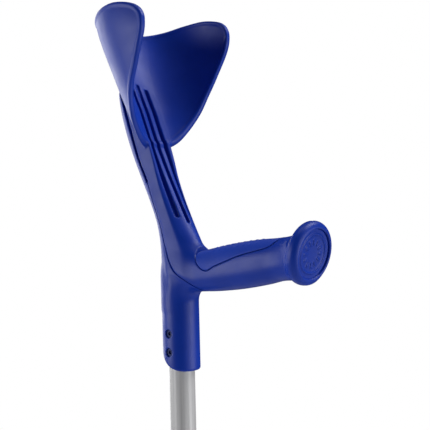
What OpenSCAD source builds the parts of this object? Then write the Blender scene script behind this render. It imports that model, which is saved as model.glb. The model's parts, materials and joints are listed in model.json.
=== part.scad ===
// Forearm crutch: a moulded cuff, arm and handle, clamped on a telescopic aluminium leg.
// Z is up along the leg, +X runs along the handle and away from the cuff, and Y = 0 is the plane of symmetry.
// The origin is the centre of the ferrule's underside. Heights in the upper moulding are counted from the
// point where the handle's axis meets the leg's axis.

/* [Leg] */
// Height of the handle above the floor, in the stored position
handle_h = 820; // [800:5:840]
// Outside diameter of the upper tube
upper_tube_d = 22; // [22:0.5:24]
// Wall of the upper tube
upper_tube_wall = 1.45; // [1.45:0.05:1.5]
// Wall of the lower tube
lower_tube_wall = 1.3; // [1.2:0.1:1.5]
// Distance between two adjusting holes
hole_pitch = 25; // [25:1:26]
// Number of adjusting holes
hole_count = 7; // [5:1:7]
// Diameter of the snap button
button_d = 8; // [7:0.5:8]

/* [Socket] */
// Outside diameter of the socket
socket_d = 32.4; // [31:0.2:34]
// Depth of the socket's lowest point below the handle's axis
socket_depth = 80; // [78:1:86]
// Distance between the two socket screws
screw_pitch = 15.8; // [14:0.2:17]

/* [Handle] */
// Rise of the handle's axis, in degrees
handle_rise = 8.5; // [6:0.5:10]
// Width of the grip
grip_w = 32; // [30:0.5:34]
// Diameter of the bead at the handle's end
bead_d = 50; // [46:1:52]
// Thickness of the soft pad
pad_t = 2.5; // [2:0.1:3]

/* [Cuff] */
// Thickness of the cuff's rolled rim
rim_t = 4; // [3.6:0.1:4.4]
// Fall of the cuff's top edge from the wing tips to the back
cuff_dip = 11; // [8:0.5:13]
// Width of a slot in the arm's inner face
slot_w = 3.5; // [3:0.1:4]
// Distance between two such slots
slot_gap = 8; // [7.5:0.1:9]

/* [Ferrule] */
// Diameter of the ferrule's foot
foot_d = 44; // [40:1:48]
// Height of the ferrule
ferrule_h = 50; // [46:1:56]

/* [Hidden] */

plastic_blue = [0.13, 0.18, 0.52];
satin_aluminium = [0.66, 0.67, 0.69];
bright_steel = [0.78, 0.79, 0.80];
dark_steel = [0.14, 0.14, 0.15];
dark_rubber = [0.16, 0.16, 0.17];
grey_plastic = [0.30, 0.31, 0.33];

fit = 0.05;            // radial clearance of a running fit
seat = 0.02;           // radial clearance of a fixed seat
parting_gap = 0.1;     // half the gap between the two mouldings
curve_fn = 96;         // segments of a true round

upper_r = upper_tube_d / 2;
upper_bore_r = upper_r - upper_tube_wall;
lower_r = upper_bore_r - fit;
lower_bore_r = lower_r - lower_tube_wall;
socket_r = socket_d / 2;

// Leg heights, from the floor
ferrule_floor = 8;
washer_t = 1.2;
lower_tube_foot = ferrule_floor + washer_t;
button_z = 565;
lower_tube_top = button_z + 45;
lowest_hole_z = button_z - 4 * hole_pitch;
upper_tube_foot = lowest_hole_z - hole_pitch;
upper_tube_top = handle_h + 14;
glide_cap = 5;

// Socket screws: heights from the handle's axis, radii of screw, sleeve and head, and the sunk heads' seats
upper_screw_h = -47.8;
lower_screw_h = upper_screw_h - screw_pitch;
screw_r = 2;
sleeve_r = 2.9;
head_r = 3.5;
head_t = 2;
head_depth = 4;
head_seat = socket_r - head_depth + seat;
hex_d = 3.5;

// ---------- The arm and cuff, as stations along their height ----------

// Inner face and rim: height, x of the inner face at y = 0, x of the rim, y of the rim, rim thickness
INNER = [
    [  2.0,  32.0,  20.0, 13.2, 0.8],
    [ 16.0,  28.0,  16.5, 13.2, 0.8],
    [ 30.0,  20.5,  11.0, 13.0, 0.8],
    [ 47.0,  12.6,   5.2, 12.8, 0.8],
    [ 71.0,   0.4,  -6.2, 12.6, 0.8],
    [ 87.0,  -8.0, -13.0, 12.6, 1.0],
    [101.0, -15.3, -18.0, 12.8, 1.5],
    [113.0, -20.6, -18.8, 14.8, 2.5],
    [124.0, -25.0, -16.6, 26.6, rim_t],
    [134.0, -29.3, -13.6, 34.6, rim_t],
    [144.0, -33.8, -10.4, 40.8, rim_t],
    [160.0, -42.5,  -4.6, 47.5, rim_t],
    [177.0, -50.5,   4.0, 51.2, rim_t],
    [199.0, -60.0,  14.8, 53.4, rim_t],
    [211.0, -64.6,  17.0, 53.6, rim_t],
    [218.0, -67.0,  15.6, 53.6, rim_t],
    [223.0, -68.3,  11.0, 53.4, rim_t],
    [227.0, -69.2,   2.5, 53.2, rim_t],
    [230.5, -70.0, -17.0, 52.6, rim_t]
];
top_h = INNER[len(INNER) - 1][0];

// Outer body: height, x of the widest line, half width there, x of the back, bulge of the wing's outer side
OUTER = [
    [  2.0,   1.0, 15.0, -14.0, 0.13],
    [ 27.0,  -0.3, 15.2, -15.5, 0.13],
    [ 47.0,  -5.0, 15.4, -20.2, 0.13],
    [ 65.0, -13.0, 15.2, -27.6, 0.13],
    [ 88.0, -24.0, 15.4, -38.6, 0.13],
    [109.0, -32.4, 16.4, -48.4, 0.02],
    [128.0, -38.7, 17.0, -55.7, 0.02],
    [150.0, -45.0, 17.0, -62.0, 0.20],
    [161.0, -48.5, 16.4, -64.6, 0.28],
    [172.0, -52.0, 15.0, -65.2, 0.32],
    [184.0, -57.0, 13.5, -64.0, 0.37],
    [196.0, -61.5, 13.0, -64.4, 0.39],
    [212.0, -67.4, 13.0, -69.2, 0.41],
    [230.5, -72.2, 13.0, -74.0, 0.40]
];

// Parting line between the two mouldings, seen from the side: [x, height]
PARTING = [
    [60, -40], [42, -16.5], [27, -6], [12, 3.5], [5, 12], [0.5, 20], [-3.9, 32], [-7.1, 45], [-10.4, 56],
    [-15.8, 76], [-25, 101], [-38, 128], [-47.6, 152], [-53.4, 166.4], [-58.5, 180], [-70, 196]
];

wing_arc_n = 5;
back_arc_n = 4;
section_step = 7;
peak_x = -20;          // where the top edge is highest
fall_from_h = 175;     // the rings below this are level

// The stretch of a table that holds height h
function stretch(table, h, i = 0) = i >= len(table) - 2 || h < table[i + 1][0] ? i : stretch(table, h, i + 1);

// Slope of column c at row i of a table
function slope(table, i, c) =
    let(a = max(i - 1, 0), b = min(i + 1, len(table) - 1))
    (table[b][c] - table[a][c]) / (table[b][0] - table[a][0]);

// Smooth value of column c at height h
function smooth(table, h, c) =
    let(
        i = stretch(table, h),
        d = table[i + 1][0] - table[i][0],
        s = (h - table[i][0]) / d,
        m0 = slope(table, i, c) * d,
        m1 = slope(table, i + 1, c) * d
    )
    (2 * s^3 - 3 * s^2 + 1) * table[i][c] + (s^3 - 2 * s^2 + s) * m0
        + (3 * s^2 - 2 * s^3) * table[i + 1][c] + (s^3 - s^2) * m1;

// Circular arc from a to b with n steps, bulging by ratio times the half chord, the last point left out
function arc(a, b, ratio, n) =
    let(
        mid = (a + b) / 2,
        half = (b - a) / 2,
        side = [half[1], -half[0]],
        sweep = max(abs(2 * atan(ratio)), 0.2) * (ratio < 0 ? -1 : 1)
    )
    [for (i = [0 : n - 1])
        let(q = sweep * (2 * i / n - 1))
        mid + half * sin(q) / sin(sweep) - side * (cos(q) - cos(sweep)) / sin(sweep)];

// Faces between one ring of n points and the next, for a stack of rings
function ring_sides(rings, n) =
    [for (j = [0 : rings - 2]) for (i = [0 : n - 1])
        let(a = j * n + i, b = j * n + (i + 1) % n)
        each [[a, a + n, b], [b, a + n, b + n]]];

function mirrored(points) = [for (i = [len(points) - 1 : -1 : 0]) [points[i][0], -points[i][1]]];

// Outside of one horizontal section, from the rim at +Y round the back to the rim at -Y
function outer_line(h) =
    let(
        rim = [smooth(INNER, h, 2), smooth(INNER, h, 3)],
        flank = [smooth(OUTER, h, 1), smooth(OUTER, h, 2)],
        depth = flank[0] - smooth(OUTER, h, 3),
        wing = arc(rim, flank, -smooth(OUTER, h, 4), wing_arc_n),
        back = [for (i = [0 : back_arc_n - 1])
            let(q = 90 * i / back_arc_n) [flank[0] - depth * sin(q), flank[1] * cos(q)]],
        side = concat(wing, back)
    )
    concat(side, [[flank[0] - depth, 0]], mirrored(side));

// Inside of the same section, with as many points
function inner_line(h) =
    let(
        end = [smooth(INNER, h, 2), smooth(INNER, h, 3) - smooth(INNER, h, 4)],
        depth = end[0] - smooth(INNER, h, 1),
        sweep = max(abs(2 * atan(depth / end[1])), 0.2) * (depth < 0 ? -1 : 1),
        n = wing_arc_n + back_arc_n
    )
    [for (i = [n : -1 : -n])
        let(q = sweep * i / n)
        [end[0] - depth * (cos(q) - cos(sweep)) / (1 - cos(sweep)), end[1] * sin(q) / sin(sweep)]];

// How far the ring at height h falls at x: the top edge is highest at the wings and lowest at the back
function fall(x, h) =
    let(share = max(0, (h - fall_from_h) / (top_h - fall_from_h)), behind = max(0, peak_x - x) / 52)
    cuff_dip * share * pow(behind, 1.4);

// The whole ring of one section, in space
function ring(h) =
    let(
        outside = outer_line(h),
        inside = inner_line(h),
        last = len(outside) - 1,
        t = smooth(INNER, h, 4),
        nose = [for (i = [0, last]) (outside[i] + inside[i]) / 2 + [t / 2, 0]]
    )
    [for (p = concat(outside, [nose[1]], [for (i = [last : -1 : 0]) inside[i]], [nose[0]]))
        [p[0], p[1], h - fall(p[0], h)]];

// A closed solid through a stack of rings that each hold 2k + 2 points: k outside, a nose, k inside, a nose
module ring_stack(rings) {
    n = len(rings[0]);
    k = n / 2 - 1;
    top = (len(rings) - 1) * n;
    // an end is a strip between the outside and the inside
    bottom_faces = concat(
        [for (i = [0 : k - 2]) each [[i, i + 1, n - 2 - i], [i + 1, n - 3 - i, n - 2 - i]]],
        [[0, n - 2, n - 1], [k - 1, k, k + 1]]
    );
    top_faces = [for (t = bottom_faces) [t[0] + top, t[2] + top, t[1] + top]];
    polyhedron(
        points = [for (r = rings) each r],
        faces = concat(ring_sides(len(rings), n), bottom_faces, top_faces),
        convexity = 8
    );
}

arm_heights = concat([for (h = [2 : section_step : 109]) h], [for (h = [112 : 4 : 212]) h],
    [215, 218, 221, 224, 226, 228, 229.5, top_h]);

module arm_blank() {
    ring_stack([for (h = arm_heights) ring(h)]);
}

// Everything behind and below the parting line
module rear_region(gap) {
    translate([0, 60, 0]) rotate([90, 0, 0]) linear_extrude(height = 120)
        polygon(concat([for (p = PARTING) p - [gap, 0]], [[-120, 196], [-120, -140], [60 - gap, -140]]));
}

// Everything in front of and above the parting line
module front_region(gap) {
    translate([0, 60, 0]) rotate([90, 0, 0]) linear_extrude(height = 120)
        polygon(concat([for (p = PARTING) p + [gap, 0]], [[-120, 196], [-120, 260], [200, 260], [200, -40]]));
}

// ---------- The handle ----------

// Stations along the handle's axis: distance, half height above the axis, half height below it, half width
GRIP = [
    [  2, 17.5, 15.0, 14.0],
    [ 22, 17.5, 15.5, 15.0],
    [ 45, 18.3, 17.5, grip_w / 2],
    [ 72, 18.8, 18.6, grip_w / 2 + 0.6],
    [ 97, 18.0, 18.0, grip_w / 2],
    [114, 16.8, 17.0, grip_w / 2 - 0.6],
    [125, 17.4, 18.6, grip_w / 2 + 1.2],
    [132, 19.8, 21.2, grip_w / 2 + 4.5]
];
grip_steps = [2, 12, 22, 32, 44, 56, 68, 80, 92, 103, 114, 119, 124, 128, 132];
grip_fn = 28;
grip_power = 2.3;      // a superellipse, slightly squarer than an oval

function grip_ring(s, inset) =
    [for (i = [0 : grip_fn - 1])
        let(
            q = 360 * i / grip_fn,
            up = (sin(q) > 0 ? smooth(GRIP, s, 1) : smooth(GRIP, s, 2)) - inset,
            wide = smooth(GRIP, s, 3) - inset,
            across = wide * sign(cos(q)) * pow(abs(cos(q)), 2 / grip_power),
            high = up * sign(sin(q)) * pow(abs(sin(q)), 2 / grip_power)
        )
        [s, across, high]];

module grip_blank(inset = 0) {
    n = grip_fn;
    last = len(grip_steps) - 1;
    points = [for (s = grip_steps) each grip_ring(s, inset)];
    middles = [[grip_steps[0], 0, 0], [grip_steps[last], 0, 0]];
    // an end is a fan round the point in its middle
    ends = [for (i = [0 : n - 1])
        let(k = (i + 1) % n, m = (last + 1) * n)
        each [[i, k, m], [last * n + k, last * n + i, m + 1]]];
    rotate([0, -handle_rise, 0]) polyhedron(
        points = concat(points, middles),
        faces = concat(ring_sides(last + 1, n), ends),
        convexity = 4
    );
}

bead_x = 137;
bead_h = 21.8;
bead_t = 12;
bead_tilt = 6;
dish_r = bead_d / 2 - 5.5;
plug_t = 3;
plug_seat = bead_t / 2 - plug_t - 1.5;

// Puts a child, drawn about Z, at the handle's end, facing outward
module at_handle_end() {
    translate([bead_x, 0, bead_h]) rotate([0, 90 + bead_tilt, 0]) children();
}

module bead_profile() {
    corner = 5.8;
    hull() {
        translate([bead_d / 2 - corner, corner - bead_t / 2]) circle(r = corner, $fn = 48);
        translate([bead_d / 2 - corner, bead_t / 2 - corner]) circle(r = corner, $fn = 48);
    }
    translate([0, -bead_t / 2]) square([bead_d / 2 - corner, bead_t - 1]);
}

module bead() {
    at_handle_end() rotate_extrude($fn = curve_fn) bead_profile();
}

// Side view of the pad: a leaf that starts over the root and runs out towards the bead
module pad_region() {
    outline = [[30, 40], [30, 17.5], [44.8, 6.7], [54, 11], [66, 15.3], [77, 19.2], [87, 21.9], [97, 23.6],
        [113, 26], [117, 28], [117, 60], [30, 60]];
    translate([0, 40, 0]) rotate([90, 0, 0]) linear_extrude(height = 80) polygon(outline);
}

// ---------- Shared cutters ----------

module tube_space() {
    below = socket_depth + 30;
    above = upper_tube_top - handle_h + seat;
    translate([0, 0, -below]) cylinder(r = upper_r + seat, h = below + above, $fn = curve_fn);
}

// Long groove with round ends that runs from a to b in the side view, depth deep along X
module long_slot(a, b, y, depth) {
    run = b - a;
    length = norm(run);
    translate([a[0], y, a[1]]) rotate([0, atan2(run[0], run[1]), 0]) translate([-depth, 0, 0]) {
        translate([0, -slot_w / 2, 0]) cube([2 * depth, slot_w, length]);
        for (end = [0, length])
            translate([0, 0, end]) rotate([0, 90, 0]) cylinder(d = slot_w, h = 2 * depth, $fn = 24);
    }
}

slot_depth = 6;

module inner_slots() {
    long_slot([8.2, 52.5], [-43.5, 160], -slot_gap, slot_depth);
    long_slot([10.6, 47.5], [-47.5, 168], 0, slot_depth);
    long_slot([8.2, 52.5], [-43.5, 160], slot_gap, slot_depth);
}

module side_slots() {
    lean = 21.5;
    for (side = [-1, 1])
        translate([-21.5, side * 16.5, 84]) rotate([0, -lean, 0])
            translate([-4.2, -4.5, 0]) cube([3.6, 9, 84]);
}

// ---------- Sub-parts ----------

module cuff_and_handle() {
    color(plastic_blue) translate([0, 0, handle_h]) difference() {
        union() {
            arm_blank();
            grip_blank();
            bead();
        }
        rear_region(-parting_gap);
        difference() {
            pad_region();
            grip_blank(pad_t);
        }
        tube_space();
        inner_slots();
        at_handle_end() translate([0, 0, plug_seat]) cylinder(r = dish_r, h = 20, $fn = curve_fn);
    }
}

module socket_foot() {
    scoop_r = 32;
    translate([15, 0, scoop_r - socket_depth]) rotate([90, 0, 0])
        cylinder(r = scoop_r, h = 60, center = true, $fn = curve_fn);
    translate([-40, -30, scoop_r - socket_depth]) cube([80, 60, socket_depth]);
}

// Web with a round inside corner that carries the handle's root
module root_web() {
    corner = 7;
    edge = socket_r + corner;
    translate([0, 8, 0]) rotate([90, 0, 0]) linear_extrude(height = 16) difference() {
        polygon([[5, -24], [edge, -24], [edge, -3], [5, -3]]);
        translate([edge, -24]) circle(r = corner, $fn = 48);
    }
}

module screw_holes() {
    for (h = [upper_screw_h, lower_screw_h]) translate([0, 0, h]) rotate([90, 0, 0]) {
        cylinder(r = sleeve_r + seat, h = socket_d, center = true, $fn = curve_fn);
        for (side = [-1, 1]) translate([0, 0, side * (socket_r - head_depth / 2 + 1)])
            cylinder(r = head_r + 0.1, h = head_depth + 2, center = true, $fn = curve_fn);
    }
}

// The parting line above the handle's root, as [height, x]
parting_rows = [for (i = [4 : len(PARTING) - 1]) [PARTING[i][1], PARTING[i][0]]];

// The spine's rings: one at every corner of the parting line, two between each pair, and one at its end
spine_top = 185;
spine_heights = concat(
    [for (i = [0 : len(parting_rows) - 3]) for (k = [0 : 2])
        parting_rows[i][0] + (parting_rows[i + 1][0] - parting_rows[i][0]) * k / 3],
    [parting_rows[len(parting_rows) - 2][0], spine_top]
);

// One level ring of the spine: the back of the arm, closed by a flat just behind the parting line
function spine_ring(h) =
    let(
        n = 6,
        chamfer = 0.4,
        wide_x = smooth(OUTER, h, 1),
        half = smooth(OUTER, h, 2),
        depth = wide_x - smooth(OUTER, h, 3),
        front = lookup(h, parting_rows) - parting_gap,
        start = asin(max(0, min(0.95, (wide_x - front + chamfer) / depth))),
        back = [for (i = [0 : n])
            let(q = start + (90 - start) * i / n)
            [wide_x - depth * sin(q), half * cos(q)]],
        ring = concat([[front, back[0][1]]], back)
    )
    [for (p = concat(ring, [for (i = [n : -1 : 0]) [ring[i][0], -ring[i][1]]])) [p[0], p[1], h]];

// The spine behind the arm, from inside the socket up to where it runs out on the cuff
module spine() {
    rings = [for (h = spine_heights) spine_ring(h)];
    n = len(rings[0]);
    top = (len(rings) - 1) * n;
    bottom_faces = [for (i = [1 : n - 2]) [0, i, i + 1]];
    top_faces = [for (t = bottom_faces) [top, t[2] + top, t[1] + top]];
    polyhedron(
        points = [for (r = rings) each r],
        faces = concat(ring_sides(len(rings), n), bottom_faces, top_faces),
        convexity = 6
    );
}

module rear_spine_socket() {
    color(plastic_blue) translate([0, 0, handle_h]) difference() {
        union() {
            spine();
            difference() {
                union() {
                    intersection() {
                        translate([0, 0, -socket_depth])
                            cylinder(r = socket_r, h = socket_depth + 20, $fn = curve_fn);
                        socket_foot();
                    }
                    root_web();
                }
                front_region(-parting_gap);
            }
        }
        tube_space();
        screw_holes();
        side_slots();
    }
}

module grip_pad() {
    color(plastic_blue) translate([0, 0, handle_h]) intersection() {
        difference() {
            grip_blank();
            grip_blank(pad_t - 0.02);
        }
        pad_region();
    }
}

module grip_end_plug() {
    hollow_r = 150;
    hollow = 1;
    color(plastic_blue) translate([0, 0, handle_h]) at_handle_end()
        translate([0, 0, plug_seat]) difference() {
            cylinder(r = dish_r - seat, h = plug_t, $fn = curve_fn);
            translate([0, 0, plug_t + hollow_r - hollow]) sphere(r = hollow_r, $fn = 180);
        }
}

// Round head with a hexagon socket, drawn upward from its seat
module socket_head() {
    difference() {
        cylinder(r = head_r, h = head_t, $fn = curve_fn);
        translate([0, 0, 0.8]) cylinder(d = hex_d, h = head_t, $fn = 6);
    }
}

module socket_screws() {
    shank_past = 4;
    color(dark_steel) translate([0, 0, handle_h]) for (h = [upper_screw_h, lower_screw_h])
        translate([0, 0, h]) rotate([90, 0, 0]) {
            translate([0, 0, -shank_past]) cylinder(r = screw_r, h = head_seat + shank_past, $fn = curve_fn);
            translate([0, 0, head_seat]) socket_head();
        }
}

module socket_sleeve_nuts() {
    color(dark_steel) translate([0, 0, handle_h]) for (h = [upper_screw_h, lower_screw_h])
        translate([0, 0, h]) rotate([-90, 0, 0]) {
            difference() {
                translate([0, 0, 1 - head_seat])
                    cylinder(r = sleeve_r, h = 2 * head_seat - 1, $fn = curve_fn);
                translate([0, 0, -head_seat])
                    cylinder(r = screw_r + seat, h = head_seat + 6, $fn = curve_fn);
            }
            translate([0, 0, head_seat]) socket_head();
        }
}

module cross_holes(r) {
    for (h = [upper_screw_h, lower_screw_h])
        translate([0, 0, handle_h + h]) rotate([90, 0, 0])
            cylinder(r = r, h = 40, center = true, $fn = curve_fn);
}

module tube_core() {
    color(grey_plastic) difference() {
        translate([0, 0, handle_h + lower_screw_h - 12])
            cylinder(r = upper_bore_r - seat, h = screw_pitch + 24, $fn = curve_fn);
        cross_holes(sleeve_r + seat);
    }
}

module adjusting_holes() {
    for (i = [0 : hole_count - 1])
        translate([0, 0, lowest_hole_z + i * hole_pitch]) rotate([0, -90, 0])
            cylinder(r = button_d / 2 + fit, h = upper_tube_d, $fn = curve_fn);
}

// Round tube between two heights, open at both ends
module tube(outer_r, bore_r, foot, top) {
    difference() {
        translate([0, 0, foot]) cylinder(r = outer_r, h = top - foot, $fn = curve_fn);
        translate([0, 0, foot - 1]) cylinder(r = bore_r, h = top - foot + 2, $fn = curve_fn);
    }
}

module upper_tube() {
    color(satin_aluminium) difference() {
        tube(upper_r, upper_bore_r, upper_tube_foot, upper_tube_top);
        cross_holes(sleeve_r + seat);
        adjusting_holes();
    }
}

// Collar round the upper tube's lower end, with a lip under its edge
module upper_tube_bush() {
    lip = 4;
    grip = 14;
    wall = 1.8;
    color(grey_plastic) translate([0, 0, upper_tube_foot]) rotate_extrude($fn = curve_fn)
        polygon([
            [lower_r + fit, -lip], [upper_r + wall - 1, -lip], [upper_r + wall, -lip + 1],
            [upper_r + wall, grip - 1], [upper_r + wall - 1, grip], [upper_r + seat, grip],
            [upper_r + seat, 0], [lower_r + fit, 0]
        ]);
}

module lower_tube() {
    color(satin_aluminium) difference() {
        tube(lower_r, lower_bore_r, lower_tube_foot, lower_tube_top);
        translate([0, 0, button_z]) rotate([0, -90, 0])
            cylinder(r = button_d / 2 + fit, h = 20, $fn = curve_fn);
    }
}

module lower_tube_glide() {
    stem = 12;
    color(grey_plastic) translate([0, 0, lower_tube_top]) {
        cylinder(r = lower_r, h = glide_cap - 1, $fn = curve_fn);
        translate([0, 0, glide_cap - 1]) cylinder(r1 = lower_r, r2 = lower_r - 1, h = 1, $fn = curve_fn);
        translate([0, 0, -stem]) cylinder(r = lower_bore_r - seat, h = stem, $fn = curve_fn);
    }
}

flange_r = button_d / 2 + 1.2;
flange_t = 1.2;
flange_x = -(sqrt(lower_bore_r^2 - flange_r^2) - 0.1);
button_tip_x = -(upper_r + 1.6);
spring_t = 0.6;
spring_w = 6;

module snap_button() {
    dome = 1.4;
    color(bright_steel) translate([flange_x, 0, button_z]) rotate([0, -90, 0]) rotate_extrude($fn = curve_fn)
        polygon(concat(
            [[0, -flange_t], [flange_r, -flange_t], [flange_r, 0], [button_d / 2, 0]],
            [for (i = [0 : 8]) let(q = 90 * i / 8)
                [(button_d / 2 - dome) + dome * cos(q), flange_x - button_tip_x - dome + dome * sin(q)]],
            [[0, flange_x - button_tip_x]]
        ));
}

// Bent strip: one leg behind the button, the other along the far wall, joined by a half turn above
module button_spring() {
    front_x = flange_x + flange_t;
    rear_x = sqrt(lower_bore_r^2 - (spring_w / 2)^2) - 0.1;
    bend_r = (rear_x - front_x) / 2;
    leg = 20;
    color(bright_steel) translate([(front_x + rear_x) / 2, spring_w / 2, button_z - 6]) rotate([90, 0, 0])
        linear_extrude(height = spring_w) {
            for (side = [-1, 1])
                translate([side * (bend_r - spring_t / 2) - spring_t / 2, 0]) square([spring_t, leg]);
            translate([0, leg]) difference() {
                circle(r = bend_r, $fn = curve_fn);
                circle(r = bend_r - spring_t, $fn = curve_fn);
                translate([-bend_r, -2 * bend_r]) square(2 * bend_r);
            }
        }
}

module ferrule() {
    foot_r = foot_d / 2;
    bore_r = lower_r + seat;
    neck_r = lower_r + 4;
    color(dark_rubber) rotate_extrude($fn = curve_fn) difference() {
        polygon([
            [0, 0], [foot_r - 1.5, 0], [foot_r, 1.5], [foot_r, 7], [foot_r - 3, 11], [neck_r + 1.5, 17],
            [neck_r, 24], [neck_r, 27], [neck_r + 1.2, 28], [neck_r + 1.2, 30], [neck_r, 31],
            [neck_r - 0.5, ferrule_h - 1], [neck_r - 1.5, ferrule_h], [0, ferrule_h]
        ]);
        translate([0, ferrule_floor]) square([bore_r, ferrule_h]);
        for (r = [8, 13.5]) translate([r, -1]) square([2.5, 2.5]);
    }
}

module ferrule_washer() {
    color(bright_steel) translate([0, 0, ferrule_floor]) difference() {
        cylinder(r = lower_r - 0.1, h = washer_t, $fn = curve_fn);
        translate([0, 0, -1]) cylinder(r = 3, h = washer_t + 2, $fn = curve_fn);
    }
}

cuff_and_handle();
rear_spine_socket();
grip_pad();
grip_end_plug();
socket_screws();
socket_sleeve_nuts();
tube_core();
upper_tube();
upper_tube_bush();
lower_tube();
lower_tube_glide();
snap_button();
button_spring();
ferrule();
ferrule_washer();
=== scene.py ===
import json
import math

import bpy
import numpy as np
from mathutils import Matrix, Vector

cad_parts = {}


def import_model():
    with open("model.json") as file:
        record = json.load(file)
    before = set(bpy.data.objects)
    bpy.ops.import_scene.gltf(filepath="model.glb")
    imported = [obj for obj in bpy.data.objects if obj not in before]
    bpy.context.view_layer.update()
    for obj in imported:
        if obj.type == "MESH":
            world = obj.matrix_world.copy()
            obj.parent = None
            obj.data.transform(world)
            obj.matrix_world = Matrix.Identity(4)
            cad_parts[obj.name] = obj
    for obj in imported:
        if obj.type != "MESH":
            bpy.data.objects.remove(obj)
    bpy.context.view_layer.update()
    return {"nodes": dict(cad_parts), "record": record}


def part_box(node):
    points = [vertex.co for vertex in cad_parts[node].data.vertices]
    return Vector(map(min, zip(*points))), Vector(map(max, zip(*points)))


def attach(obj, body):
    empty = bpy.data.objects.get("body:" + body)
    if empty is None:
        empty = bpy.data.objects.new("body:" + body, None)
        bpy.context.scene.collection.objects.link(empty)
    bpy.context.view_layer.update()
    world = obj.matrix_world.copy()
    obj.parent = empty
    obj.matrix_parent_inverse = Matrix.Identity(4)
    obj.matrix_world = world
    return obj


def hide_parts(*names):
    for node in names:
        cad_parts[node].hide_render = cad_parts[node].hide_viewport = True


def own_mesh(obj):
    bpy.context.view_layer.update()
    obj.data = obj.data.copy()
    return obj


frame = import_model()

import openvdb
from mathutils import Matrix, Vector

# A forearm crutch. The two blue mouldings, the grip pad and the handle's end disc are modelled here as
# signed-distance fields, meshed as smooth shells and set in the place of their plain CAD nodes. The snap
# button's spring is a new bent strip. The tubes, fasteners and ferrule stay as the CAD made them and
# get their materials here.
#
# Fields work in millimetres: x and y as in the frame, and h the height over the point where the handle's
# axis crosses the leg's. A field is negative inside its shape. Both sides are alike, so y is never negative.

MM = 0.001
SOCKET_DEPTH = 80.0  # from the handle's axis down to the socket's rim
HANDLE_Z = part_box("rear_spine_socket")[0].z / MM + SOCKET_DEPTH


# ---------- Field tools ----------

def ramp(value, start, end):
    """0 at start and 1 at end, straight between them and level beyond."""
    return np.clip((value - start) / (end - start), 0, 1)


def ease(value, start, end):
    """0 at start and 1 at end, with a smooth curve between them and level beyond."""
    t = ramp(value, start, end)
    return t * t * (3 - 2 * t)


def beyond(value, low, high):
    """How far value lies outside the stretch from low to high."""
    return np.maximum(np.maximum(low - value, value - high), 0)


def stations(rows):
    """A smooth curve through (place, value) rows, as a function of the place."""
    keys = np.array([row[0] for row in rows], float)
    values = np.array([row[1] for row in rows], float)
    slopes = np.gradient(values, keys)

    def value(place):
        place = np.clip(place, keys[0], keys[-1])
        i = np.clip(np.searchsorted(keys, place, side="right") - 1, 0, len(keys) - 2)
        d = keys[i + 1] - keys[i]
        s = (place - keys[i]) / d
        return (
            (2 * s**3 - 3 * s**2 + 1) * values[i]
            + (s**3 - 2 * s**2 + s) * d * slopes[i]
            + (3 * s**2 - 2 * s**3) * values[i + 1]
            + (s**3 - s**2) * d * slopes[i + 1]
        )

    return value


def curves(rows):
    """Smooth curves through rows of a place and several values, one curve for each value."""
    return [stations([(row[0], row[i]) for row in rows]) for i in range(1, len(rows[0]))]


def join(a, b, k):
    """Union of two fields with a fillet about k wide."""
    t = np.maximum(k - np.abs(a - b), 0) / k
    return np.minimum(a, b) - t * t * k / 4


def meet(a, b, k):
    """Intersection of two fields with an edge rounded over about k."""
    return -join(-a, -b, k)


def cut(a, b, k):
    """Field a with b taken away, its edge rounded over about k."""
    return meet(a, -b, k)


def rounded(a, b, corner):
    """Distance to a rectangle with round corners, from the distances a and b past its two pairs of sides."""
    a = a + corner
    b = b + corner
    return np.hypot(np.maximum(a, 0), np.maximum(b, 0)) + np.minimum(np.maximum(a, b), 0) - corner


def smooth_line(points, steps=8):
    """Catmull-Rom curve through 2-D points."""
    p = np.array(points, float)
    p = np.vstack([2 * p[0] - p[1], p, 2 * p[-1] - p[-2]])
    line = []
    for i in range(1, len(p) - 2):
        a, b, c, d = p[i - 1 : i + 3]
        for t in np.arange(steps) / steps:
            even = 2 * b + (2 * a - 5 * b + 4 * c - d) * t**2
            odd = (c - a) * t + (3 * b - a - 3 * c + d) * t**3
            line.append((even + odd) / 2)
    line.append(p[-2])
    return np.array(line)


class Outline:
    """Signed distance to a closed outline in the side view, kept in a table; it is negative inside."""

    step = 0.75
    low = np.array([-90.0, -100.0])
    high = np.array([165.0, 250.0])

    def __init__(self, points):
        p = np.array(points, float)
        count = np.ceil((self.high - self.low) / self.step).astype(int) + 1
        u = self.low[0] + self.step * np.arange(count[0])[:, None]
        v = self.low[1] + self.step * np.arange(count[1])[None, :]
        nearest = np.full(count, np.inf)
        inside = np.zeros(count, bool)
        for a, b in zip(p, np.roll(p, -1, axis=0)):
            run = b - a
            length = max(run @ run, 1e-9)
            t = np.clip(((u - a[0]) * run[0] + (v - a[1]) * run[1]) / length, 0, 1)
            nearest = np.minimum(nearest, (u - a[0] - t * run[0]) ** 2 + (v - a[1] - t * run[1]) ** 2)
            if a[1] != b[1]:
                crossing = a[0] + (v - a[1]) * run[0] / run[1]
                inside ^= ((a[1] > v) != (b[1] > v)) & (u < crossing)
        self.table = np.sqrt(nearest) * np.where(inside, -1, 1)

    def __call__(self, u, v):
        rows, columns = self.table.shape
        fu = np.clip((u - self.low[0]) / self.step, 0, rows - 1.001)
        fv = np.clip((v - self.low[1]) / self.step, 0, columns - 1.001)
        i, j = fu.astype(int), fv.astype(int)
        a, b = fu - i, fv - j
        t = self.table
        return (
            t[i, j] * (1 - a) * (1 - b)
            + t[i + 1, j] * a * (1 - b)
            + t[i, j + 1] * (1 - a) * b
            + t[i + 1, j + 1] * a * b
        )


# ---------- From a field to a mesh ----------

BAND = 4  # voxels on each side of the surface that keep the field's value
SNAPS = 3  # steps that bring the mesh's points onto the surface
SNAP_MOST = 0.4  # the longest such step, in voxels
PROBE = 0.05  # half the distance over which a field's slope is taken


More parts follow.
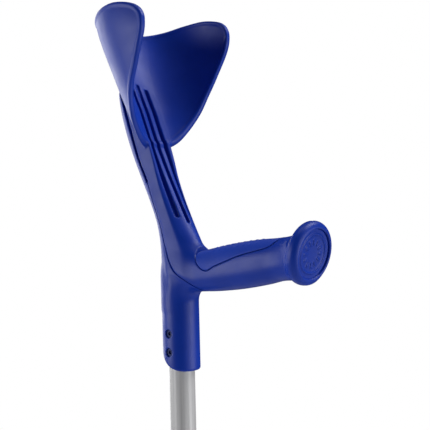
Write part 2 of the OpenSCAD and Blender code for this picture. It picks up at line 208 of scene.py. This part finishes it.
def snapped(points, field, voxel):
    """The points, moved onto the surface where the field is 0."""
    def at(p):
        return field(p[:, 0], np.abs(p[:, 1]), p[:, 2])

    for _ in range(SNAPS):
        rises = [at(points + d) - at(points - d) for d in PROBE * np.eye(3)]
        slope = np.stack(rises, axis=1) / (2 * PROBE)
        step = at(points)[:, None] * slope / np.maximum((slope * slope).sum(1), 1e-6)[:, None]
        size = np.linalg.norm(step, axis=1, keepdims=True)
        points = points - step * np.minimum(1, SNAP_MOST * voxel / np.maximum(size, 1e-9))
    return points


def surface(field, x_range, y_reach, h_range, voxel):
    """Points and faces of the surface where the field is 0, on both sides of y = 0."""
    x, y, h = (
        low + voxel * np.arange(math.ceil((high - low) / voxel) + 1)
        for low, high in (x_range, (0, y_reach), h_range)
    )
    values = field(x[:, None, None], y[None, :, None], h[None, None, :])
    values = np.clip(values, -BAND * voxel, BAND * voxel).astype(np.float32)
    values = np.ascontiguousarray(np.concatenate([values[:, :0:-1, :], values], axis=1))
    grid = openvdb.FloatGrid(background=BAND * voxel)
    grid.copyFromArray(values)
    points, triangles, quads = grid.convertToPolygons(isovalue=0.0, adaptivity=0.0)
    points = np.array([x[0], -y[-1], h[0]]) + points.astype(float) * voxel
    return snapped(points, field, voxel), quads[:, ::-1].tolist() + triangles[:, ::-1].tolist()


def add_mesh(name, points, faces, finish):
    """A mesh object with one material; its points are in metres, in the frame."""
    mesh = bpy.data.meshes.new(name)
    mesh.from_pydata(points, [], faces)
    mesh.validate()
    mesh.materials.append(finish)
    made = bpy.data.objects.new(name, mesh)
    bpy.context.collection.objects.link(made)
    return made


# ---------- Shapes of the mouldings ----------

RISE = math.radians(8.5)  # the handle's slope

ARM_LEAN = math.radians(21.5)  # from upright, where the side slots are
ARM_SLANT = 0.93  # turns a distance along x into one square to the leaning arm
ARM_LOW, ARM_HIGH = 4, 170
RIDGE_Y = 13.4  # half the width of the arm's inner face
SUNK = 3  # the arm's inner face drops this far behind the cuff's, out of sight
SUNK_FROM, SUNK_TO = 115, 122

WALL = 4.0
RIM_T = 4.8
RIM_DEPTH = 3.6
RIM_CORNER = 1.4
RIM_JOIN = 1.2
CUFF_STRETCH = 1.157  # depth over width of the cuff's section
CUFF_POWER = 2.2  # above 2, so the section is fuller than an ellipse
CUFF_SLANT = 0.94  # as ARM_SLANT, for the cuff's wall

GRIP_FROM, GRIP_TO = 6, 134  # along the handle's axis
GRIP_POWER = 2.3
BEAD_X = 137.4
BEAD_H = 21.8
BEAD_TILT = math.radians(12)
BEAD_R = 25.0
BEAD_T = 11.0
BEAD_CORNER = 5.3
DISH_R = 19.5
DISH_DEPTH = 4.5

SOCKET_R = 16.0
SOCKET_TOP = 14
BORE_R = 11.05
BORE_TOP = 14.1
SCOOP_R = 32  # the round of the socket's lower edge, seen from the side
SCOOP_X = 15
STEP = 0.6  # the small step in the socket's back
STEP_FROM, STEP_TO = -32, -27
SCREW_HEIGHTS = (-47.8, -63.6)
SCREW_HEAD_R = 3.6
SCREW_HOLE_R = 2.95
SCREW_SEAT = 4  # how deep a screw's head is let in

PARTING_GAP = 0.12  # each moulding stops this far from the parting line
EDGE = 0.9  # rounding along the parting line and the slots
INNER_SLOTS = ((8, 52.5, 165), (0, 47.5, 169))  # y, and from which height to which
INNER_SLOT_W = 3.5
INNER_SLOT_DEPTH = 6.5
SHALLOW_FROM, SHALLOW_TO, SHALLOW_BY = 148, 162, 4  # so that the slots' tops don't pierce the cuff
SIDE_SLOT_FROM, SIDE_SLOT_TO = 83, 166
SIDE_SLOT_Y = 9.5  # how near the middle a side slot reaches
SIDE_SLOT_HALF_W, SIDE_SLOT_GROWS = 1.1, 0.8

PAD_CAVITY = 2.6  # depth under the grip's surface
PAD_T = 2.5
PAD_PROUD = 0.15
PAD_GAP = 0.3
MARK_H = 0.35
MARK_PITCH, MARK_PITCH_Y = 6.5, 5.2
MARKS_FROM, MARKS_TO, MARKS_FADE = 42, 104, 8  # along the handle's axis
MARKS_HALF_W, MARKS_FADE_Y = 12, 3

DISC_BACK = 4.4  # from the bead's outer face to the disc's back
DISC_FACE = 1.7  # from the bead's outer face to the disc's edge
DISC_DISH = 0.9
DISC_GAP = 0.15
RELIEF = 0.7
RING_R, RING_HALF_W = 15.2, 1.3
BARS, BAR_R, BAR_HALF_L = 12, 9, 2.6

# Height, x of the arm's inner face
inner_x = stations([
    (2, 34), (16, 31), (30, 22.8), (47, 12.4), (71, -0.8), (87, -9.2), (101, -16.2), (113, -22),
    (124, -26.8), (134, -30.8), (144, -34.8), (160, -42.5), (177, -50.5), (199, -60), (211, -64.6),
    (223, -68.3), (236, -71),
])
# Height, x where the arm is widest, half its width there
wide_x, half_width = curves([
    (2, 1, 16), (27, -0.3, 15.4), (47, -5, 14.6), (65, -13, 13.9), (88, -24, 13.6), (109, -32.4, 14.2),
    (128, -38.7, 15), (150, -45, 15.8), (161, -48.5, 16), (172, -52, 15), (184, -57, 13.5), (196, -61.5, 12),
])
# Height, how far the arm's inner face falls back from its middle to its edges
front_fall = stations([
    (2, 12), (16, 11.5), (30, 9.5), (47, 7.2), (71, 5), (87, 2.4), (101, -0.8), (113, -2.7), (130, -2.7),
])
# Height, x of the arm's back
back_x = stations([
    (2, -15.4), (12, -15.4), (27, -16.2), (47, -20.8), (65, -28.8), (88, -40.6), (109, -50.6),
    (128, -57.9), (150, -63.6), (161, -64.6), (172, -65.2), (184, -64), (196, -64),
])
# Height, half the cuff's width outside
cuff_r = stations([
    (100, 35), (113, 37), (124, 39.8), (134, 44.5), (144, 47.5), (160, 49.5), (177, 51.2), (199, 54.9),
    (211, 56.3), (236, 56),
])
# Height, x of a side slot's middle
side_slot_x = stations([
    (83, -24.4), (92, -29), (100, -32.9), (108, -36.1), (117, -38.9), (126, -41.6), (134, -44.2),
    (143, -47), (151, -49.4), (166, -54.5),
])
# Place along the handle's axis, the grip's height over the axis, its depth under it, half its width
grip_up, grip_down, grip_half = curves([
    (-6, 17.5, 15, 14), (2, 17.5, 15, 14), (22, 17.5, 15.5, 15), (45, 18.3, 17.5, 16),
    (72, 18.8, 18.6, 16.6), (97, 18, 18, 16), (114, 16.6, 17, 15.4), (125, 16.4, 18.4, 17),
    (134, 17, 21, 20),
])

# Outlines in the side view, of (x, h) points
wing_outline = Outline(np.vstack([
    smooth_line([
        (-30, 108), (-25, 111.5), (-21, 117), (-17.8, 124), (-14, 134.6), (-10.4, 144), (-4.6, 160),
        (4, 177), (14.6, 199), (17, 210), (15.8, 217.5), (11, 223.3), (2, 227.5), (-16, 230.4),
        (-36, 228.6), (-52, 224), (-68, 219), (-88, 215),
    ]),
    [(-88, 102), (-40, 102)],
]))
parting_line = smooth_line([
    (60, -40), (42, -16.5), (27, -6), (12, 3.5), (5, 12), (0.5, 20), (-3.9, 32), (-8.6, 45), (-17.8, 66),
    *[(side_slot_x(height), height) for height in (83, 100, 117, 134, 151, 166)],
    (-70, 196), (-89, 212),
])
rear_region = Outline(np.vstack([parting_line, [(-89, -99), (60, -99)]]))
pad_outline = Outline(np.vstack([
    smooth_line([
        (27.5, 24), (29.5, 18), (36, 10.5), (44.8, 6.9), (54, 10.6), (66, 14.8), (77, 18.6), (87, 21.4),
        (97, 23.6), (110, 27.5), (118, 36),
    ]),
    [(118, 60), (27.5, 60)],
]))


def arm_field(x, y, h):
    """The arm's own body, from the socket to where it runs out behind the cuff."""
    wide, half, fall = wide_x(h), half_width(h), front_fall(h)
    dx = x - wide
    depth = np.maximum(wide - back_x(h), 4)
    back = (np.hypot(np.minimum(dx, 0) / depth, y / half) - 1) * np.minimum(depth, half)
    share = np.clip(dx / np.maximum(inner_x(h) - fall - wide, 4), 0, 1.2)
    flank = y - half - (RIDGE_Y - half) * share**1.5
    front = x - inner_x(h) + fall * (y / RIDGE_Y) ** 2 + SUNK * ease(h, SUNK_FROM, SUNK_TO)
    body = meet(np.where(dx < 0, back, flank), front * 0.8, 1.4)
    body = meet(body, ARM_LOW - h, 6)
    return meet(body * ARM_SLANT, h - ARM_HIGH, 10)


def cuff_field(x, y, h):
    """The cuff's wall, a slanting part-cone, with its thicker rolled rim."""
    radius = cuff_r(h)
    back = inner_x(h) - WALL * CUFF_STRETCH
    deep = np.abs((x - back) / CUFF_STRETCH - radius)
    section = (deep**CUFF_POWER + y**CUFF_POWER) ** (1 / CUFF_POWER)
    across = np.abs(section - radius + WALL / 2)
    edge = wing_outline(x, h)
    wall = meet(across - WALL / 2, edge + RIM_JOIN, RIM_JOIN)
    rim = rounded(across - RIM_T / 2, np.abs(edge + RIM_DEPTH / 2) - RIM_DEPTH / 2, RIM_CORNER)
    return join(wall, rim, RIM_JOIN) * CUFF_SLANT


def handle_axes(x, h):
    """Distance along the handle's rising axis, and height over it."""
    along = x * math.cos(RISE) + h * math.sin(RISE)
    over = h * math.cos(RISE) - x * math.sin(RISE)
    return along, over


def handle_field(x, y, h):
    """The grip, without its bead."""
    along, over = handle_axes(x, h)
    tall = np.where(over > 0, grip_up(along), grip_down(along))
    wide = grip_half(along)
    size = (np.abs(over / tall) ** GRIP_POWER + (y / wide) ** GRIP_POWER) ** (1 / GRIP_POWER)
    body = (size - 1) * np.minimum(tall, wide)
    return meet(body, np.maximum(along - GRIP_TO, GRIP_FROM - along), 3)


def bead_axes(x, y, h):
    """Distance along the bead's axis, outward; height over it; and distance from it."""
    along = (x - BEAD_X) * math.cos(BEAD_TILT) - (h - BEAD_H) * math.sin(BEAD_TILT)
    over = (x - BEAD_X) * math.sin(BEAD_TILT) + (h - BEAD_H) * math.cos(BEAD_TILT)
    return along, over, np.hypot(over, y)


def bead_field(x, y, h):
    """The thick ring at the handle's end, with the recess that the disc sits in."""
    along, _, radial = bead_axes(x, y, h)
    ring = rounded(radial - BEAD_R, np.abs(along) - BEAD_T / 2, BEAD_CORNER)
    recess = np.maximum(radial - DISH_R, BEAD_T / 2 - DISH_DEPTH - along)
    return cut(ring, recess, 1.2)


def socket_field(x, y, h):
    """The tube's socket, with its scooped lower edge and the small step in its back."""
    step = STEP * ease(h, STEP_FROM, STEP_TO) * np.clip(0.5 - x / SOCKET_R, 0, 1)
    barrel = np.hypot(x, y) - SOCKET_R - step
    barrel = meet(barrel, h - SOCKET_TOP, 14)
    scoop = np.hypot(x - SCOOP_X, np.minimum(h + SOCKET_DEPTH - SCOOP_R, 0)) - SCOOP_R
    return meet(barrel, scoop, 2.4)


def tube_space(x, y, h):
    """The socket's bore, which the tube goes into."""
    return np.maximum(np.hypot(x, y) - BORE_R, h - BORE_TOP)


def inner_slot_field(x, y, h, side_y, low, high):
    """A long groove with round ends in the arm's inner face, shallower at its top."""
    depth = INNER_SLOT_DEPTH - SHALLOW_BY * ramp(h, SHALLOW_FROM, SHALLOW_TO)
    reach = np.hypot(y - side_y, beyond(h, low, high)) - INNER_SLOT_W / 2
    return np.maximum(reach, inner_x(h) - depth - x)


def side_slot_field(x, y, h):
    """The long gap on each side between the spine and the cuff's root, wider towards its top."""
    half = SIDE_SLOT_HALF_W + SIDE_SLOT_GROWS * ramp(h, SIDE_SLOT_FROM, SIDE_SLOT_TO)
    off = (x - side_slot_x(h)) * math.cos(ARM_LEAN)
    reach = np.hypot(off, beyond(h, SIDE_SLOT_FROM, SIDE_SLOT_TO)) - half
    return np.maximum(reach, SIDE_SLOT_Y - y)


def screw_field(x, y, h):
    """Seats of the two screws, in both sides of the socket."""
    seats = []
    for height in SCREW_HEIGHTS:
        radial = np.hypot(x, h - height)
        head = np.maximum(radial - SCREW_HEAD_R, SOCKET_R - SCREW_SEAT - y)
        seats.append(np.minimum(head, radial - SCREW_HOLE_R))
    return np.minimum(*seats)


def whole_field(x, y, h):
    """Both mouldings as one blended body, before they are parted."""
    trunk = join(arm_field(x, y, h), socket_field(x, y, h), 3)
    trunk = join(trunk, cuff_field(x, y, h), 2.5)
    handle = join(handle_field(x, y, h), bead_field(x, y, h), 4)
    return join(trunk, handle, 10)


def pad_cavity(x, y, h):
    """The shallow space that the soft pad is let into."""
    return np.maximum(pad_outline(x, h), -(handle_field(x, y, h) + PAD_CAVITY))


def front_field(x, y, h):
    """Cuff, arm and handle."""
    body = meet(whole_field(x, y, h), PARTING_GAP - rear_region(x, h), EDGE)
    body = cut(body, tube_space(x, y, h), 0.5)
    for slot in INNER_SLOTS:
        body = cut(body, inner_slot_field(x, y, h, *slot), EDGE)
    body = cut(body, side_slot_field(x, y, h), EDGE)
    return cut(body, pad_cavity(x, y, h) - 0.1, 0.7)


def rear_field(x, y, h):
    """Spine and socket."""
    body = meet(whole_field(x, y, h), rear_region(x, h) + PARTING_GAP, EDGE)
    body = cut(body, tube_space(x, y, h), 0.8)
    body = cut(body, side_slot_field(x, y, h), EDGE)
    return cut(body, screw_field(x, y, h), 0.7)


def pad_field(x, y, h):
    """The soft pad, standing a little proud, with rows of small raised lozenges on top."""
    along, _ = handle_axes(x, h)
    waves = np.cos(2 * math.pi * along / MARK_PITCH) + np.cos(2 * math.pi * y / MARK_PITCH_Y)
    mark = MARK_H * np.clip(waves - 0.9, 0, 1)
    mark = mark * ramp(along, MARKS_FROM, MARKS_FROM + MARKS_FADE)
    mark = mark * ramp(along, MARKS_TO, MARKS_TO - MARKS_FADE)
    mark = mark * ramp(y, MARKS_HALF_W, MARKS_HALF_W - MARKS_FADE_Y)
    grip = handle_field(x, y, h)
    skin = meet(grip - PAD_PROUD - mark, -(grip + PAD_T), 0.4)
    return meet(skin, pad_outline(x, h) + PAD_GAP, 0.9)


def disc_field(x, y, h):
    """The handle's end disc: dished, with a plain ring and short radial bars in low relief."""
    along, over, radial = bead_axes(x, y, h)
    face = BEAD_T / 2 - DISC_FACE - DISC_DISH * np.clip(1 - (radial / DISH_R) ** 2, 0, 1)
    ring = np.clip(RING_HALF_W - np.abs(radial - RING_R), 0, 1)
    spokes = np.clip(np.cos(BARS * np.arctan2(over, y)) * 1.6, 0, 1)
    bars = spokes * np.clip(BAR_HALF_L - np.abs(radial - BAR_R), 0, 1)
    disc = meet(along - face - RELIEF * (ring + bars), radial - DISH_R + DISC_GAP, 0.6)
    return meet(disc, BEAD_T / 2 - DISC_BACK - along, 0.3)


# ---------- Materials ----------

class Finish:
    """A Principled material, its sockets set to plain values, and the nodes that can be wired to them."""

    def __init__(self, name, colour, roughness, metallic=0.0):
        self.made = bpy.data.materials.new(name)
        self.made.use_nodes = True
        self.nodes = self.made.node_tree.nodes
        self.links = self.made.node_tree.links
        self.shader = self.nodes["Principled BSDF"]
        self.set("Base Color", (*colour, 1))
        self.set("Roughness", roughness)
        self.set("Metallic", metallic)

    def set(self, socket, value):
        self.shader.inputs[socket].default_value = value

    def feed(self, socket, value):
        self.links.new(value, self.shader.inputs[socket])

    def place(self, stretch=(1, 1, 1)):
        """Object coordinates, stretched: the objects sit at the origin, so these are metres in the frame."""
        where = self.nodes.new("ShaderNodeTexCoord")
        mapping = self.nodes.new("ShaderNodeMapping")
        mapping.inputs["Scale"].default_value = stretch
        self.links.new(where.outputs["Object"], mapping.inputs["Vector"])
        return mapping.outputs["Vector"]

    def noise(self, vector, scale, detail=3.0, roughness=0.55):
        node = self.nodes.new("ShaderNodeTexNoise")
        node.inputs["Scale"].default_value = scale
        node.inputs["Detail"].default_value = detail
        node.inputs["Roughness"].default_value = roughness
        self.links.new(vector, node.inputs["Vector"])
        return node.outputs["Fac"]

    def spread(self, value, low, high, start=0.3, end=0.7):
        """value, from start to end, mapped to low to high."""
        node = self.nodes.new("ShaderNodeMapRange")
        node.inputs["From Min"].default_value = start
        node.inputs["From Max"].default_value = end
        node.inputs["To Min"].default_value = low
        node.inputs["To Max"].default_value = high
        self.links.new(value, node.inputs["Value"])
        return node.outputs["Result"]

    def tint(self, value, dark, light):
        """dark where value is low, light where it is high."""
        node = self.nodes.new("ShaderNodeValToRGB")
        stops = node.color_ramp.elements
        for stop, position, colour in ((stops[0], 0.3, dark), (stops[1], 0.7, light)):
            stop.position = position
            stop.color = (*colour, 1)
        self.links.new(value, node.inputs["Fac"])
        return node.outputs["Color"]

    def bump(self, value, strength, distance, below=None):
        """A bumped normal, on top of another one where below is given."""
        node = self.nodes.new("ShaderNodeBump")
        node.inputs["Strength"].default_value = strength
        node.inputs["Distance"].default_value = distance
        self.links.new(value, node.inputs["Height"])
        if below is not None:
            self.links.new(below, node.inputs["Normal"])
        return node.outputs["Normal"]

    def worn_edges(self, spot, colour, worn):
        """colour, rubbed towards worn in patches along the convex edges."""
        sharp = self.nodes.new("ShaderNodeNewGeometry").outputs["Pointiness"]
        edge = self.spread(sharp, 0.0, 1.0, 0.515, 0.58)
        patch = self.spread(self.noise(spot, 160.0, 4.0), 0.25, 0.9, 0.35, 0.65)
        both = self.nodes.new("ShaderNodeMath")
        both.operation = "MULTIPLY"
        self.links.new(edge, both.inputs[0])
        self.links.new(patch, both.inputs[1])
        mix = self.nodes.new("ShaderNodeMix")
        mix.data_type = "RGBA"
        # The node has an A, a B and a Result for each data type, so those of the colours go by number
        colour_a, colour_b, colour_result = mix.inputs[6], mix.inputs[7], mix.outputs[2]
        self.links.new(both.outputs["Value"], mix.inputs["Factor"])
        self.links.new(colour, colour_a)
        colour_b.default_value = (*worn, 1)
        return colour_result


def moulded_plastic(name, dark, light, worn, roughness, grain=3200.0, grain_strength=0.12):
    """Injection-moulded plastic: fine spark-eroded grain, a slow drift of colour and gloss, rubbed edges."""
    finish = Finish(name, light, roughness)
    spot = finish.place()
    drift = finish.tint(finish.noise(spot, 28.0, 4.0), dark, light)
    finish.feed("Base Color", finish.worn_edges(spot, drift, worn))
    gloss = finish.noise(spot, 90.0, 5.0)
    finish.feed("Roughness", finish.spread(gloss, roughness - 0.05, roughness + 0.05))
    fine = finish.bump(finish.noise(spot, grain, 2.0), grain_strength, 0.0002)
    finish.feed("Normal", finish.bump(finish.noise(spot, 60.0, 2.0), 0.08, 0.0006, fine))
    return finish


def blue_plastic():
    """The mouldings and the end disc."""
    dark, light, worn = (0.003, 0.030, 0.320), (0.004, 0.036, 0.375), (0.035, 0.095, 0.50)
    finish = moulded_plastic("blue_plastic", dark, light, worn, 0.4)
    finish.set("Specular IOR Level", 0.25)
    return finish


def soft_blue_pad():
    """Moulded elastomer: coarser grain and a softer shine than the hard plastic."""
    dark, light, worn = (0.006, 0.042, 0.400), (0.008, 0.050, 0.460), (0.03, 0.09, 0.52)
    finish = moulded_plastic("soft_blue_pad", dark, light, worn, 0.5, grain=2400.0, grain_strength=0.3)
    finish.set("Specular IOR Level", 0.2)
    finish.set("Sheen Weight", 0.05)
    finish.set("Sheen Roughness", 0.5)
    return finish


def grey_plastic():
    """The tube's plug, bush and glide."""
    dark, light, worn = (0.030, 0.031, 0.034), (0.045, 0.046, 0.050), (0.09, 0.09, 0.095)
    return moulded_plastic("grey_plastic", dark, light, worn, 0.5)


def black_rubber():
    """Matt and grained, with a little dust."""
    finish = Finish("black_rubber", (0.014, 0.014, 0.015), 0.75)
    spot = finish.place()
    dust = finish.noise(spot, 45.0, 6.0, 0.65)
    finish.feed("Base Color", finish.tint(dust, (0.011, 0.011, 0.012), (0.028, 0.027, 0.026)))
    finish.feed("Roughness", finish.spread(dust, 0.66, 0.86))
    finish.feed("Normal", finish.bump(finish.noise(spot, 1400.0), 0.35, 0.0003))
    return finish


def satin_aluminium():
    """Drawn and anodised tube: faint lengthwise streaks in colour, gloss and surface."""
    finish = Finish("satin_aluminium", (0.55, 0.55, 0.56), 0.55, metallic=0.2)
    streaks = finish.place(stretch=(1, 1, 0.02))
    coarse = finish.noise(streaks, 420.0, 4.0, 0.6)
    finish.feed("Base Color", finish.tint(coarse, (0.42, 0.42, 0.43), (0.58, 0.58, 0.59)))
    finish.feed("Roughness", finish.spread(finish.noise(streaks, 1900.0), 0.5, 0.62))
    finish.feed("Normal", finish.bump(coarse, 0.12, 0.0003))
    return finish


def black_steel():
    """The screws and nuts: steel under a dark blue coating, a little worn."""
    finish = Finish("black_steel", (0.008, 0.022, 0.14), 0.5)
    finish.set("Specular IOR Level", 0.15)
    wear = finish.noise(finish.place(), 500.0, 5.0, 0.7)
    finish.feed("Base Color", finish.tint(wear, (0.004, 0.014, 0.10), (0.011, 0.029, 0.18)))
    finish.feed("Roughness", finish.spread(wear, 0.38, 0.55))
    return finish


def zinc_steel():
    """Bright zinc plating with a fine spangle."""
    finish = Finish("zinc_steel", (0.50, 0.51, 0.53), 0.36, metallic=1.0)
    spot = finish.place()
    spangle = finish.noise(spot, 700.0, 4.0, 0.7)
    finish.feed("Base Color", finish.tint(spangle, (0.40, 0.41, 0.43), (0.58, 0.59, 0.60)))
    finish.feed("Roughness", finish.spread(spangle, 0.28, 0.46))
    finish.feed("Normal", finish.bump(finish.noise(spot, 1500.0, 2.0), 0.1, 0.0002))
    return finish


# ---------- Pieces ----------

# By the record's material slot
FINISHES = {
    "blue_plastic": blue_plastic().made,
    "soft_blue_pad": soft_blue_pad().made,
    "grey_plastic": grey_plastic().made,
    "black_rubber": black_rubber().made,
    "satin_aluminium": satin_aluminium().made,
    "zinc_steel": zinc_steel().made,
    "black_steel": black_steel().made,
}
COARSE = 1.0


def moulded_piece(name, node, field, space, voxel, finish):
    """A piece from a field, on the crutch's head; space is its x range, y reach and h range."""
    points, faces = surface(field, *space, voxel * COARSE)
    placed = (points + [0, 0, HANDLE_Z]) * MM
    piece = add_mesh(name, placed.tolist(), faces, FINISHES[finish])
    piece.data.shade_smooth()
    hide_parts(node)
    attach(piece, "crutch_head")


SPRING_T = 0.6 * MM
LEG_STEPS, TURN_STEPS = 8, 24


def leaf_spring():
    """The bent strip behind the snap button, in the place of its CAD node."""
    low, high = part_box("button_spring")
    bend_r = (high.x - low.x) / 2
    bend_x = low.x + bend_r
    bend_z = high.z - bend_r
    leg = np.linspace(low.z, bend_z, LEG_STEPS + 1)[:-1]
    # The strip's outer side, as (x, z, angle of its normal)
    outside = [(low.x, z, math.pi) for z in leg]
    for a in np.linspace(math.pi, 0, TURN_STEPS + 1):
        outside.append((bend_x + bend_r * math.cos(a), bend_z + bend_r * math.sin(a), a))
    outside += [(high.x, z, 0) for z in leg[::-1]]
    bevel = SPRING_T / 4
    # The strip's section, as (depth, y)
    section = [
        (0, low.y + bevel), (0, high.y - bevel), (bevel, high.y), (SPRING_T - bevel, high.y),
        (SPRING_T, high.y - bevel), (SPRING_T, low.y + bevel), (SPRING_T - bevel, low.y), (bevel, low.y),
    ]
    points, faces = [], []
    for x, z, a in outside:
        points += [(x - math.cos(a) * depth, y, z - math.sin(a) * depth) for depth, y in section]
    n = len(section)
    last = len(points) - n
    for r in range(0, last, n):
        faces += [(r + c, r + n + c, r + n + (c + 1) % n, r + (c + 1) % n) for c in range(n)]
    faces += [tuple(range(n)), tuple(range(last, last + n))[::-1]]
    piece = add_mesh("leaf_spring", points, faces, FINISHES["zinc_steel"])
    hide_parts("button_spring")
    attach(piece, "lower_leg")
    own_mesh(piece)


# Piece, CAD node that it stands for, field, (x range, y reach, h range), voxel size, finish
MOULDED = (
    ("cuff_arm_and_handle", "cuff_and_handle", front_field, ((-80, 150), 60, (-24, 236)), 0.75,
     "blue_plastic"),
    ("spine_and_socket", "rear_spine_socket", rear_field, ((-74, 46), 22, (-84, 196)), 0.6,
     "blue_plastic"),
    ("soft_grip_pad", "grip_pad", pad_field, ((24, 124), 20, (2, 44)), 0.6,
     "soft_blue_pad"),
    ("handle_end_disc", "grip_end_plug", disc_field, ((134, 148), 22, (-2, 46)), 0.4,
     "blue_plastic"),
)
for row in MOULDED:
    moulded_piece(*row)
leaf_spring()

REPLACED = {row[1] for row in MOULDED} | {"button_spring"}
for part in frame["record"]["subparts"]:
    if part["node"] not in REPLACED:
        node = frame["nodes"][part["node"]]
        node.data.materials.clear()
        node.data.materials.append(FINISHES[part["material_slot"]])


# ---------- Floor, light and camera ----------

FLOOR_R = 2.2
FLOOR_SIDES = 96
FLOOR_TONE = 0.8
AMBIENT = 0.04
TARGET = (0, 0, 0.9)
# Name, place, side of the square in metres, power in watts
LIGHTS = (
    ("left_front", (-1.3, -1.85, 0.8), 1.4, 32),
    ("left", (-2.2, 0.2, 1.0), 1.6, 22),
    ("handle_side", (2.3, 0.1, 1.0), 1.4, 12),
    ("right", (2.0, 1.0, 0.5), 1.2, 20),
    ("right_high", (0.9, 1.0, 2.7), 1.2, 34),
    ("top", (0, -0.2, 2.9), 1.2, 6),
)
AZIMUTH = math.radians(42)
CAMERA_DISTANCE = 0.750
CAMERA_SIDE = 0.0316
CAMERA_RISE = 0.0523
ROLL = math.radians(1.4)
SENSOR = 36
LENS = 72.7535


def floor_material():
    """Pale and matt, fading out towards the disc's edge so that it runs into the white background."""
    finish = Finish("pale_floor", (FLOOR_TONE,) * 3, 0.9)
    spot = finish.place()
    mottle = finish.noise(spot, 3.0)
    finish.feed("Base Color", finish.tint(mottle, (FLOOR_TONE * 0.985,) * 3, (FLOOR_TONE,) * 3))
    distance = finish.nodes.new("ShaderNodeVectorMath")
    distance.operation = "LENGTH"
    finish.links.new(spot, distance.inputs[0])
    finish.feed("Alpha", finish.spread(distance.outputs["Value"], 1.0, 0.0, 0.25, 0.95 * FLOOR_R))
    return finish.made


def floor():
    """A disc that follows the foot, so that the crutch stands on it whatever the leg's length."""
    turns = np.linspace(0, 2 * math.pi, FLOOR_SIDES, endpoint=False)
    ring = [(FLOOR_R * math.cos(a), FLOOR_R * math.sin(a), 0) for a in turns]
    made = add_mesh("floor", ring, [tuple(range(len(ring)))], floor_material())
    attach(made, "lower_leg")


def world():
    """A white background that lights the object only faintly."""
    made = bpy.data.worlds.new("studio")
    made.use_nodes = True
    nodes, links = made.node_tree.nodes, made.node_tree.links
    backdrop = nodes["Background"]
    backdrop.inputs["Color"].default_value = (1, 1, 1, 1)
    ambient = nodes.new("ShaderNodeBackground")
    ambient.inputs["Color"].default_value = (1, 1, 1, 1)
    ambient.inputs["Strength"].default_value = AMBIENT
    ray = nodes.new("ShaderNodeLightPath")
    mix = nodes.new("ShaderNodeMixShader")
    links.new(ray.outputs["Is Camera Ray"], mix.inputs["Fac"])
    links.new(ambient.outputs["Background"], mix.inputs[1])
    links.new(backdrop.outputs["Background"], mix.inputs[2])
    links.new(mix.outputs["Shader"], nodes["World Output"].inputs["Surface"])
    bpy.context.scene.world = made


def softbox(name, place, side, power):
    """A square area light that faces the target."""
    data = bpy.data.lights.new(name, "AREA")
    data.shape = "SQUARE"
    data.size = side
    data.energy = power
    lamp = bpy.data.objects.new(name, data)
    lamp.location = place
    lamp.rotation_euler = (Vector(TARGET) - Vector(place)).to_track_quat("-Z", "Y").to_euler()
    bpy.context.collection.objects.link(lamp)


def camera():
    """Level, close to the crutch, a little to the right of the leg and just above the handle."""
    right = Vector((math.cos(AZIMUTH), math.sin(AZIMUTH), 0))
    back = Vector((math.sin(AZIMUTH), -math.cos(AZIMUTH), 0))
    up = Vector((0, 0, 1))
    turned_right = right * math.cos(ROLL) - up * math.sin(ROLL)
    turned_up = up * math.cos(ROLL) + right * math.sin(ROLL)
    axes = Matrix((turned_right, turned_up, back)).transposed().to_4x4()
    spot = back * CAMERA_DISTANCE + right * CAMERA_SIDE + up * (HANDLE_Z * MM + CAMERA_RISE)
    data = bpy.data.cameras.new("camera")
    data.sensor_width = SENSOR
    data.lens = LENS
    data.clip_end = 100
    made = bpy.data.objects.new("camera", data)
    made.matrix_world = Matrix.Translation(spot) @ axes
    bpy.context.collection.objects.link(made)
    bpy.context.scene.camera = made


floor()
world()
for light in LIGHTS:
    softbox(*light)
camera()
bpy.context.scene.view_settings.view_transform = "Standard"
